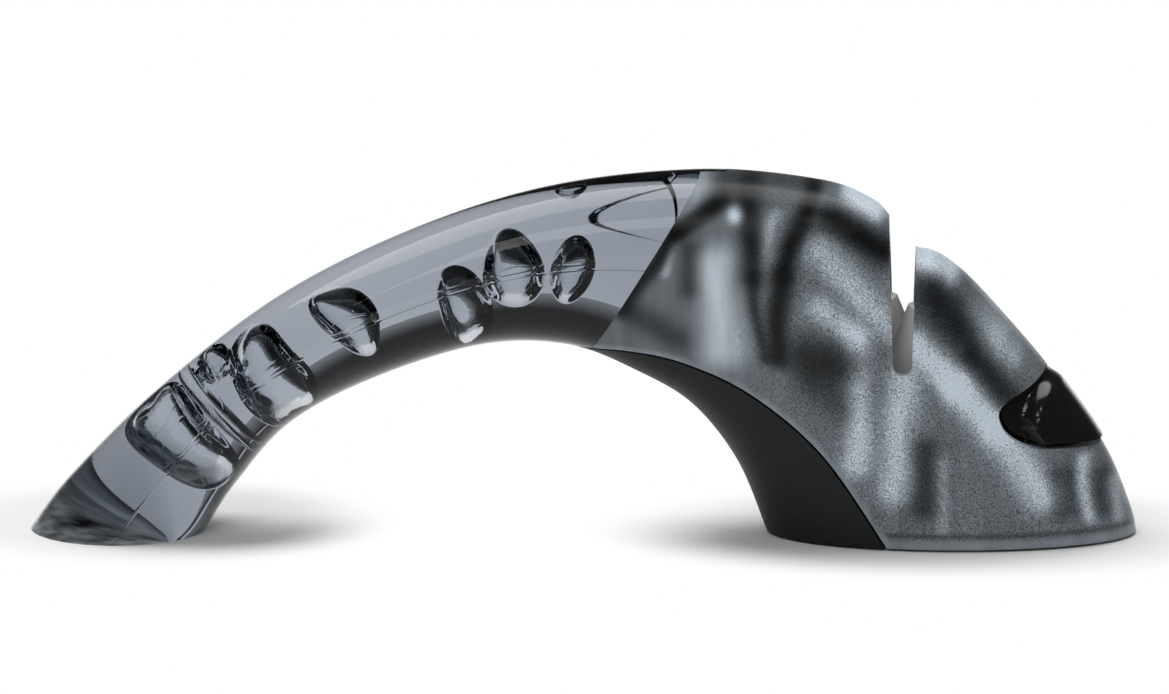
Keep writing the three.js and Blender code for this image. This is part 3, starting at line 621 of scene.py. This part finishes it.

# Painted highlights and painted shade on the frost: light marks stand for the lamps' highlights and light
# seen through the wall, dark marks for the shaded insides seen through it: start, end, half-width, strength
PAINTED_MARKS = [
    ((26.5, 66.4), (18.5, 60.3), 1.5, -0.05),
    ((18.5, 60.3), (7.9, 45.4), 1.5, -0.05),
    ((23.2, 70.5), (11.9, 52.9), 1.7, 0.03),
    ((18.8, 60.4), (16.2, 52.5), 0.8, 0.08),
    ((21.4, 57.0), (20.6, 49.5), 1.8, -0.02),
    ((10.5, 44.5), (18.0, 40.0), 2.8, -0.02),
    ((33.1, 52.2), (33.8, 36.5), 1.1, -0.03),
    ((43.5, 66.8), (51.5, 66.0), 1.8, 0.05),
    ((74.5, 43.5), (80.5, 36.0), 2.2, 0.06),
    ((29.1, 63.4), (29.3, 63.2), 1.3, 0.35),
    ((26.2, 54.2), (26.5, 38.0), 3.7, 0.12),
    ((31.1, 67.1), (33.1, 52.2), 2.0, -0.04),
    ((36.5, 63.0), (33.8, 52.2), 1.2, 0.06),
    ((43.1, 67.1), (38.5, 52.2), 1.7, -0.05),
    ((38.5, 52.2), (36.5, 36.6), 1.7, -0.05),
    ((51.1, 67.1), (56.4, 63.7), 2.0, 0.25),
    ((46.4, 63.0), (57.1, 56.3), 2.3, -0.045),
    ((45.8, 56.9), (58.4, 42.7), 2.7, 0.09),
    ((45.1, 46.1), (51.1, 40.7), 2.3, 0.11),
    ((51.1, 40.7), (52.7, 16.3), 2.3, 0.12),
    ((42.4, 36.6), (48.4, 35.3), 4.1, -0.034),
    ((43.0, 31.5), (48.5, 27.5), 3.2, -0.014),
    ((27.0, 68.6), (47.0, 68.2), 3.2, -0.016),
    ((59.7, 32.6), (59.7, 11.6), 2.7, 0.11),
    ((65.4, 19.5), (65.2, 8.5), 2.3, -0.026),
    ((69.0, 17.0), (68.7, 4.1), 0.9, 0.05),
    ((64.1, 55.6), (70.4, 51.5), 1.9, 0.22),
    ((67.0, 48.1), (71.0, 42.0), 3.9, -0.034),
    ((62.7, 39.3), (70.4, 31.2), 2.5, 0.2),
    ((70.4, 31.2), (78.3, 23.1), 2.7, 0.22),
    ((78.3, 23.1), (87.7, 10.2), 3.0, 0.13),
    ((73.0, 36.6), (79.7, 28.5), 2.3, -0.03),
    ((77.7, 42.7), (78.0, 41.4), 3.3, 0.03),
    ((90.3, 14.0), (90.3, 7.0), 1.8, -0.015),
    ((95.3, 16.3), (96.3, 5.5), 1.1, 0.1),
    ((93.0, 14.0), (93.0, 7.0), 1.4, -0.012),
    ((99.0, 13.0), (99.6, 6.5), 1.6, -0.016),
    ((101.6, 10.9), (102.3, 4.8), 1.3, 0.06),
    ((40.0, 3.0), (104.0, 3.0), 0.5, -0.012),
]
VEIL_GROUND, HIGHLIGHT_GAIN, SHADE_GAIN = 0.22, 5.4, 62.0
# Painted light: a lighter rim along the insert's edge and the head's foot, where light shows through the thin
# edge
RIM_WIDTH, BASE_RIM_WIDTH, RIM_PAINTED_LIGHT = 0.8, 1.6, 0.36
# The marks sway along by waves: strength, then how fast each turns upwards and along
MARK_SWAY, SWAY_WAVES = 0.7, ((1.0, 0.15, 0.0), (0.5, 0.36, 0.3))
NEAR_BLOCKS, FINE_EDGE_STEPS, SEAM_STEPS = 60, 600, 500
SEAM_HALF_WIDTH, SEAM_HEIGHT, WRINKLE_DEPTH = 0.16, 0.0001, 0.00012
ON_FACE, ON_TABLE = 0.02, 0.01


def nearest_on(line, flat):
    """For each point, which point of a line lies nearest, worked out in blocks to spare memory."""
    return np.concatenate([
        np.argmin(((block[:, None, :] - line[None]) ** 2).sum(axis=2), axis=1)
        for block in np.array_split(flat, NEAR_BLOCKS)
    ])


def painted_light_of(points):
    """Ground grey plus the light marks, which are painted highlights, times the dimming of the dark marks,
    which are painted shade. A mark fades as exp(-(distance / half-width)^2). A painted light rim follows the
    insert's edge and the foot of the head."""
    flat = points[:, [0, 2]]
    rim = rim_of(flat)
    light, dark = np.full(len(flat), VEIL_GROUND), np.zeros(len(flat))
    sway = MARK_SWAY * sum(share * np.sin(up * flat[:, 1] + along * flat[:, 0])
                           for share, up, along in SWAY_WAVES)
    flat = flat + np.stack([sway, np.zeros_like(sway)], axis=1)
    for start, end, half, strength in PAINTED_MARKS:
        a, run = np.array(start), np.array(end) - np.array(start)
        share = np.clip((flat - a) @ run / (run @ run), 0, 1)[:, None]
        away = np.linalg.norm(flat - a - share * run, axis=1)
        fade = np.exp(-(away / half) ** 2)
        light += HIGHLIGHT_GAIN * max(strength, 0) * fade
        dark += SHADE_GAIN * max(-strength, 0) * fade
    return light * np.exp(-dark) * (1 - rim) + RIM_PAINTED_LIGHT * rim


def in_slot(flat):
    """Whether a point lies on the slot's walls: no further from its middle than the wall at that height."""
    slope = (SLOT_MOUTH_WIDTH - SLOT_BOTTOM_WIDTH) / 2 / (SLOT_MOUTH_Z - SLOT_BOTTOM_Z)
    wall = SLOT_BOTTOM_WIDTH / 2 + slope * (flat[:, 1] - SLOT_BOTTOM_Z)
    return (np.abs(flat[:, 0] - SLOT_X) < wall + ON_FACE) & (flat[:, 1] > SLOT_BOTTOM_Z - ON_FACE)


def rim_of(flat):
    """1 within a rim's width of the insert's edge or of the head's foot, falling smoothly to 0."""
    fine_edge = at_length(edge_line, np.linspace(0, 1, FINE_EDGE_STEPS))
    to_edge = np.linalg.norm(flat - fine_edge[nearest_on(fine_edge, flat)], axis=1)
    from_base = (flat[:, 1] - BASE_LIFT) / BASE_RIM_WIDTH
    return 1 - smooth_step(np.minimum(to_edge / RIM_WIDTH, from_base) - 0.5)


def seam_of(points):
    """Signed distance in millimetres from the line half-way between the rails, seen from the side."""
    share = np.linspace(0, 1, SEAM_STEPS)
    line = (at_length(outer_line, share) + at_length(inner_line, share)) / 2
    flat = points[:, [0, 2]]
    nearest = nearest_on(line[:-1], flat)
    run = np.diff(line, axis=0)[nearest]
    off = flat - line[nearest]
    return (run[:, 0] * off[:, 1] - run[:, 1] * off[:, 0]) / np.linalg.norm(run, axis=1)


# The mould's two halves leave a fine raised line along the handle
seam = add_node(clear_tree, "ShaderNodeAttribute", attribute_name="seam")
ridge = math_node(clear_tree, "MULTIPLY", seam.outputs["Fac"], 1 / SEAM_HALF_WIDTH)
ridge = math_node(clear_tree, "MULTIPLY", math_node(clear_tree, "MULTIPLY", ridge, ridge), -1.0)
ridge = math_node(clear_tree, "EXPONENT", ridge)
# A bubble's skin set with wrinkles
in_bubble = add_node(clear_tree, "ShaderNodeAttribute", attribute_name="bubble")
wrinkle = add_node(clear_tree, "ShaderNodeTexNoise",
                   {"Scale": 240.0, "Detail": 3.0, "Roughness": 0.55, "Distortion": 0.6})
clear_tree.links.new(clear_place, wrinkle.inputs["Vector"])
wrinkles = math_node(clear_tree, "MULTIPLY", wrinkle.outputs["Fac"], in_bubble.outputs["Fac"])
# Painted shade: the bubbles' faces get a grey base colour, which darkens them
clear_tree.links.new(ramp(clear_tree, in_bubble.outputs["Fac"], [(0, (1, 1, 1)), (1, (0.64, 0.68, 0.72))]),
                     clear_shader.inputs["Base Color"])
clear_shader.inputs["Specular Tint"].default_value = (0.4, 0.4, 0.4, 1)


def stack_bump(tree, shader, height, depth):
    """Adds a Bump node on top of the normal that the shader already has."""
    bump = add_node(tree, "ShaderNodeBump", {"Strength": 1.0, "Distance": depth})
    tree.links.new(height, bump.inputs["Height"])
    tree.links.new(shader.inputs["Normal"].links[0].from_socket, bump.inputs["Normal"])
    tree.links.new(bump.outputs["Normal"], shader.inputs["Normal"])


stack_bump(clear_tree, clear_shader, ridge, SEAM_HEIGHT)
stack_bump(clear_tree, clear_shader, wrinkles, WRINKLE_DEPTH)

# The frost starts a little before the hollow's slanted end wall on the near flank and at it on the far one
FROST_START = np.array((21.9, 0.0, 68.8))
FROST_LEAN = np.array((math.cos(END_WALL_LEAN), 0.0, -math.sin(END_WALL_LEAN)))
WALL_AHEAD = (np.array((END_WALL_TOP_X, 0.0, CROWN_Z)) - FROST_START) @ FROST_LEAN
GRAIN_OVER = 22.0
CLEAR, FROST, GROUND, SLOT = range(4)


def cut_along(mesh, point, normal):
    """Splits the faces that a plane crosses, so that a finish can end on a clean line."""
    cut = bmesh.new()
    cut.from_mesh(mesh)
    everything = cut.verts[:] + cut.edges[:] + cut.faces[:]
    bmesh.ops.bisect_plane(cut, geom=everything, plane_co=Vector(point * MM), plane_no=Vector(normal))
    cut.to_mesh(mesh)
    cut.free()


def paint_shell(piece):
    """Frost past the slanted line, a ground face under the foot, and the clear finish on all the rest."""
    mesh = piece.data
    cut_along(mesh, FROST_START, FROST_LEAN)
    cut_along(mesh, FROST_START + WALL_AHEAD * FROST_LEAN, FROST_LEAN)
    mesh.materials.clear()
    for finish in (clear_smoke, frost_smoke, ground_foot, painted_light_slot_wall):
        mesh.materials.append(finish)
    centre = np.empty(len(mesh.polygons) * 3)
    mesh.polygons.foreach_get("center", centre)
    centre = centre.reshape(-1, 3) / MM
    ahead = (centre - FROST_START) @ FROST_LEAN
    on_wall = np.abs(ahead - WALL_AHEAD) < ON_FACE
    past = (ahead > np.where(centre[:, 1] > 0, WALL_AHEAD, 0)) & ~on_wall
    under_foot = (centre[:, 0] < FOOT_HEEL_X) & (centre[:, 2] < ON_TABLE)
    # The slot's walls take the painted light grey finish
    choice = np.select([under_foot, in_slot(centre[:, [0, 2]]), past], [GROUND, SLOT, FROST], CLEAR)
    mesh.polygons.foreach_set("material_index", choice.astype(np.int32))
    co = np.empty(len(mesh.vertices) * 3)
    mesh.vertices.foreach_get("co", co)
    points = co.reshape(-1, 3) / MM
    grain = smooth_step((points[:, 0] - FROST_START[0]) / GRAIN_OVER)
    layers = {
        "painted_light": painted_light_of(points),
        "frost": grain * (1 - rim_of(points[:, [0, 2]])),
        "seam": seam_of(points),
    }
    for layer, values in layers.items():
        mesh.attributes.new(layer, "FLOAT", "POINT").data.foreach_set("value", values.astype(np.float32))
    print("frosted faces:", int(past.sum()), "of", len(past))


paint_shell(shell)
finish_piece(shell, "housing", SHARP_DEGREES, ["body_shell"])

# %% [markdown]
# ## The return spring
# The spring behind the button is wound from round steel wire. It could be a stack of rings, but then it
# would not look wound. So it is a wire on a helix round the press line.

# %% Return spring
PRESS_ANGLE, PAD_CREST = math.radians(34.5), 1
PRESS_START = np.array((PAD_X + PAD_CREST, 0.0, PAD_Z + PAD_CREST))
PRESS_IN = np.array((-math.cos(PRESS_ANGLE), 0.0, -math.sin(PRESS_ANGLE)))
SPRING_FROM, SPRING_TO, SPRING_RADIUS, SPRING_WIRE, SPRING_TURNS = 5.8, 11.8, 2.3, 0.28, 5
STEPS_PER_TURN, WIRE_RING, SPRING_SHARP = 40, 12, 40


def coil_grid(rows, ring):
    """A wire on a helix: press line + radius outwards at a turning angle, and round that point the wire's
    own circle, spanned by the outward direction and the press line."""
    share = np.linspace(0, 1, rows)[:, None, None]
    angle = 2 * np.pi * SPRING_TURNS * share
    side = np.array((PRESS_IN[2], 0.0, -PRESS_IN[0]))
    outward = np.cos(angle) * side + np.sin(angle) * np.array((0.0, 1.0, 0.0))
    depth = SPRING_FROM + SPRING_WIRE + share * (SPRING_TO - SPRING_FROM - 2 * SPRING_WIRE)
    turn = np.linspace(0, 2 * np.pi, ring, endpoint=False)[None, :, None]
    return (PRESS_START + depth * PRESS_IN + (SPRING_RADIUS + SPRING_WIRE * np.cos(turn)) * outward
            + SPRING_WIRE * np.sin(turn) * PRESS_IN)


spring = tube_piece("return_spring", coil_grid(STEPS_PER_TURN * SPRING_TURNS, WIRE_RING))
spring.data.materials.append(steel)
finish_piece(spring, "housing", SPRING_SHARP, ["button_spring"])
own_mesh(spring)

# %% [markdown]
# ## The other pieces
# The insert and the button take their plain finishes. The pieces inside are mostly turned steel, moulded
# plastic or ceramic. Their CAD shapes are already right, so each only gets the finish of what it is made of.

# %% Dress the other pieces
for piece, body, slot_name, node_name, finish in (
    (insert, "housing", "charcoal_plastic", "arch_insert", charcoal),
    (button, "button_body", "black_button", "nose_button", button_black),
):
    piece.data.materials.clear()
    piece.data.materials.append(finish)
    finish_piece(piece, body, SHARP_DEGREES, [node_name])

FINISH_OF = {
    "base_plate": charcoal, "carrier_block": charcoal, "front_roller": ceramic, "rear_roller": ceramic,
    "rubber_foot_1": foot_rubber, "rubber_foot_2": foot_rubber, "rubber_foot_3": foot_rubber,
}
for name, node in nodes.items():
    node.data.materials.clear()
    node.data.materials.append(FINISH_OF.get(name, steel))
    node.data.shade_smooth()
    node.data.set_sharp_from_angle(angle=math.radians(SHARP_DEGREES))
print("finishes on CAD nodes:", len(nodes))

# %% [markdown]
# ## Floor
# The part stands on a white sheet that shows soft shadows only close round the base and the foot. A sheet
# lit until it is white would flatten the part, so away from two ovals it is simply seen as white.

# %% Floor
def looks_at(tree):
    """1 for rays that look at the set: from the camera, in a reflection or through the clear plastic."""
    path = add_node(tree, "ShaderNodeLightPath")
    mirror = math_node(tree, "MAXIMUM", path.outputs["Is Glossy Ray"], path.outputs["Is Transmission Ray"])
    return math_node(tree, "MAXIMUM", path.outputs["Is Camera Ray"], mirror), path.outputs["Is Camera Ray"]


FLOOR_HALF, FLOOR_WHITE, SHADOW_NEAR, SHADOW_FAR = 4.0, 0.94, 1.0, 1.75
# Middle and half-sizes of each oval in millimetres
BASE_OVAL = ((69.9, 0, 0), (40, 27, 1))
FOOT_OVAL = ((-82, 6, 0), (27, 25, 1))
floor_mesh = bpy.data.meshes.new("table_top")
floor_mesh.from_pydata([(-FLOOR_HALF, -FLOOR_HALF, 0), (FLOOR_HALF, -FLOOR_HALF, 0),
                        (FLOOR_HALF, FLOOR_HALF, 0), (-FLOOR_HALF, FLOOR_HALF, 0)], [], [(0, 1, 2, 3)])
floor = bpy.data.objects.new("table_top", floor_mesh)
bpy.context.scene.collection.objects.link(floor)
floor_paint, floor_tree, floor_shader, floor_out, floor_place = new_material("table_white")
floor_shader.inputs["Base Color"].default_value = (FLOOR_WHITE, FLOOR_WHITE, FLOOR_WHITE, 1)
floor_shader.inputs["Roughness"].default_value = 0.6


def from_oval(tree, place, centre, radii):
    """Distance from the centre in an oval's own radii: one on its rim."""
    moved = add_node(tree, "ShaderNodeVectorMath", {1: Vector(centre) * MM}, operation="SUBTRACT")
    tree.links.new(place, moved.inputs[0])
    scaled = add_node(tree, "ShaderNodeVectorMath", {1: Vector(radii) * MM}, operation="DIVIDE")
    tree.links.new(moved.outputs[0], scaled.inputs[0])
    length = add_node(tree, "ShaderNodeVectorMath", operation="LENGTH")
    tree.links.new(scaled.outputs[0], length.inputs[0])
    return length.outputs["Value"]


away = math_node(floor_tree, "MINIMUM", from_oval(floor_tree, floor_place, *BASE_OVAL),
                 from_oval(floor_tree, floor_place, *FOOT_OVAL))
far = add_node(floor_tree, "ShaderNodeMapRange", {"From Min": SHADOW_NEAR, "From Max": SHADOW_FAR},
               interpolation_type="SMOOTHSTEP")
floor_tree.links.new(away, far.inputs["Value"])
sweep = add_node(floor_tree, "ShaderNodeEmission", {"Color": (1, 1, 1, 1), "Strength": 1.0})
floor_mix = add_node(floor_tree, "ShaderNodeMixShader")
whitened = math_node(floor_tree, "MULTIPLY", looks_at(floor_tree)[0], far.outputs["Result"])
floor_tree.links.new(whitened, floor_mix.inputs[0])
floor_tree.links.new(floor_shader.outputs[0], floor_mix.inputs[1])
floor_tree.links.new(sweep.outputs[0], floor_mix.inputs[2])
floor_tree.links.new(floor_mix.outputs[0], floor_out.inputs["Surface"])
floor_mesh.materials.append(floor_paint)
print("floor is", 2 * FLOOR_HALF, "m across")

# %% [markdown]
# ## Light
# A broad soft lamp hangs above and behind, a weaker one stands in front, and a small one makes the glints.
# The studio's white wall only goes up so far, and above it the room is dark. That is what draws the dark
# band along the lower side of a clear rod: light from there has come down from the dark ceiling.

# %% Light
WALL_TOP, WALL_SOFT, CEILING, ROOM_LIGHT = -0.02, 0.18, 0.02, 0.25
LAMP_TARGET = (0.0, 0.0, 0.03)
world = bpy.data.worlds.new("studio")
bpy.context.scene.world = world
world.use_nodes = True
world_tree = world.node_tree
world_tree.nodes.clear()
world_out = add_node(world_tree, "ShaderNodeOutputWorld")
lit = add_node(world_tree, "ShaderNodeBackground", {"Color": (1, 1, 1, 1), "Strength": ROOM_LIGHT})
shown = add_node(world_tree, "ShaderNodeBackground", {"Strength": 1.0})
direction = add_node(world_tree, "ShaderNodeSeparateXYZ")
world_tree.links.new(add_node(world_tree, "ShaderNodeTexCoord").outputs["Generated"], direction.inputs[0])
above = add_node(world_tree, "ShaderNodeMapRange", {
    "From Min": WALL_TOP - WALL_SOFT, "From Max": WALL_TOP + WALL_SOFT, "To Min": 1.0, "To Max": CEILING,
}, interpolation_type="SMOOTHSTEP")
world_tree.links.new(direction.outputs["Z"], above.inputs["Value"])
seen, by_camera = looks_at(world_tree)
wall = math_node(world_tree, "MAXIMUM", above.outputs["Result"], by_camera)
world_tree.links.new(wall, shown.inputs["Color"])
choose = add_node(world_tree, "ShaderNodeMixShader")
world_tree.links.new(seen, choose.inputs[0])
world_tree.links.new(lit.outputs[0], choose.inputs[1])
world_tree.links.new(shown.outputs[0], choose.inputs[2])
world_tree.links.new(choose.outputs[0], world_out.inputs["Surface"])


def soft_light(name, place, size, watts, through):
    """A rectangular lamp turned towards the part, and whether it shows through the clear plastic."""
    lamp = bpy.data.lights.new(name, "AREA")
    lamp.shape, lamp.size, lamp.size_y, lamp.energy = "RECTANGLE", size[0], size[1], watts
    made = bpy.data.objects.new(name, lamp)
    made.location, made.visible_transmission = place, through
    made.rotation_euler = (Vector(LAMP_TARGET) - Vector(place)).to_track_quat("-Z", "Y").to_euler()
    bpy.context.scene.collection.objects.link(made)


soft_light("overhead", place=(-0.05, 0.24, 0.75), size=(1.0, 0.55), watts=5.4, through=False)
soft_light("front", place=(-0.15, -0.75, 0.65), size=(0.5, 0.3), watts=1.7, through=False)
soft_light("glint", place=(0.3, -0.5, 0.8), size=(0.06, 0.06), watts=0.4, through=True)
print("lamps:", len(bpy.data.lights))

# %% [markdown]
# ## Camera
# The view is nearly flat, as through a long lens from far off, and looks down by eleven degrees. So the
# camera stands two and a half metres away, and its lens is worked out from the width that it has to show.

# %% Camera
SENSOR_WIDTH = 36
FRAME_WIDTH = 221.56 * MM
LOOK_AT = Vector((0.28, 0.0, 35.3)) * MM
CAMERA_HEIGHT, CAMERA_TURN = math.radians(11), math.radians(1.45)
CAMERA_DISTANCE = 2.5
camera_data = bpy.data.cameras.new("camera")
camera_data.sensor_width = SENSOR_WIDTH
camera_data.lens = SENSOR_WIDTH * CAMERA_DISTANCE / FRAME_WIDTH
camera = bpy.data.objects.new("camera", camera_data)
back = Vector((math.sin(CAMERA_TURN) * math.cos(CAMERA_HEIGHT),
               -math.cos(CAMERA_TURN) * math.cos(CAMERA_HEIGHT), math.sin(CAMERA_HEIGHT)))
camera.location = LOOK_AT + CAMERA_DISTANCE * back
camera.rotation_euler = (-back).to_track_quat("-Z", "Y").to_euler()
bpy.context.scene.collection.objects.link(camera)
bpy.context.scene.camera = camera
print("lens", round(camera_data.lens, 1), "mm")
